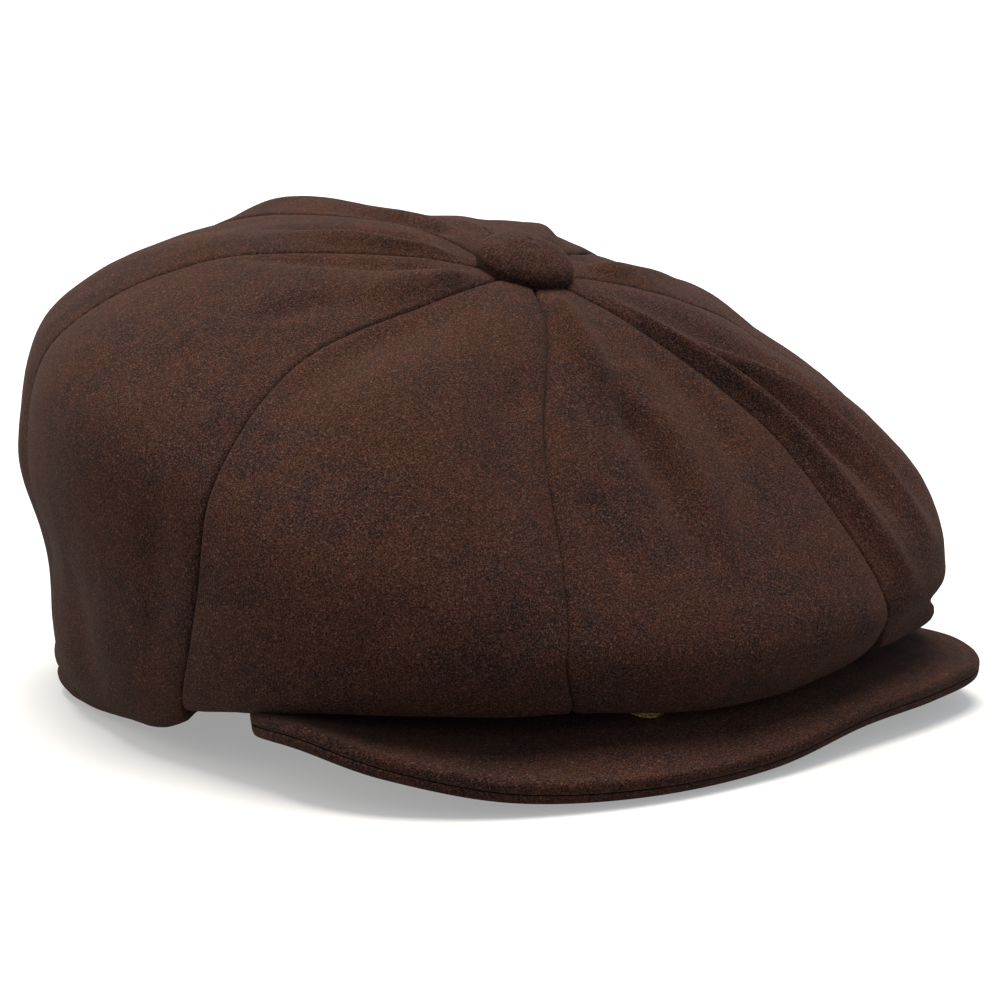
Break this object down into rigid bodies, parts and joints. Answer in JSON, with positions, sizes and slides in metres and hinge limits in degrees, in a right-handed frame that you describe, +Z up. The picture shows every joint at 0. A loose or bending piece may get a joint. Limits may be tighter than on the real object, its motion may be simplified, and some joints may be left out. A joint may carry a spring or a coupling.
{
  "type": "newsboy cap",
  "caption": "Soft panelled wool newsboy cap with a covered top button and a short stiff brim that the front of the crown snaps down onto.",
  "frame": {"origin": "middle of the cap's length and width, on the surface it stands on", "axes": "-Y is the way the brim points, +X is the wearer's left, +Z is up towards the top button"},
  "size_m": [0.2276, 0.2497, 0.1256],
  "materials": {
    "wool": "napped brown melton wool with flecks of rust, orange and blue-black fibre",
    "brim_board": "stiff moulded sheet, hidden between the brim's cloths",
    "lining": "dark brown satin lining",
    "sweatband": "ribbed cotton grosgrain band",
    "tape": "plain buckram tape, hidden behind the sweatband",
    "label": "blank woven label",
    "button_metal": "pressed steel, hidden under the button's cloth",
    "snap_brass": "polished pressed brass",
    "snap_spring": "spring wire"
  },
  "bodies": {
    "crown": {"panel_front": "wool", "panel_front_left": "wool", "panel_left": "wool", "panel_back_left": "wool", "panel_back": "wool", "panel_back_right": "wool", "panel_right": "wool", "panel_front_right": "wool", "sweatband": "sweatband", "headband_tape": "tape", "lining_tip": "lining", "lining_side_left": "lining", "lining_side_right": "lining", "blank_label": "label", "button_cover": "wool", "button_shell": "button_metal", "button_back": "button_metal", "snap_socket": "snap_brass", "snap_socket_spring": "snap_spring", "snap_socket_cap": "snap_brass"},
    "brim": {"brim_board": "brim_board", "brim_top_cloth": "wool", "brim_under_cloth": "wool", "snap_stud": "snap_brass", "snap_stud_washer": "snap_brass"}
  },
  "joints": [
    {"name": "brim_hinge", "type": "hinge", "parent": "crown", "child": "brim", "pos_m": [0, -0.042, 0.012], "axis": [1, 0, 0], "range_deg": [0, 8]}
  ]
}
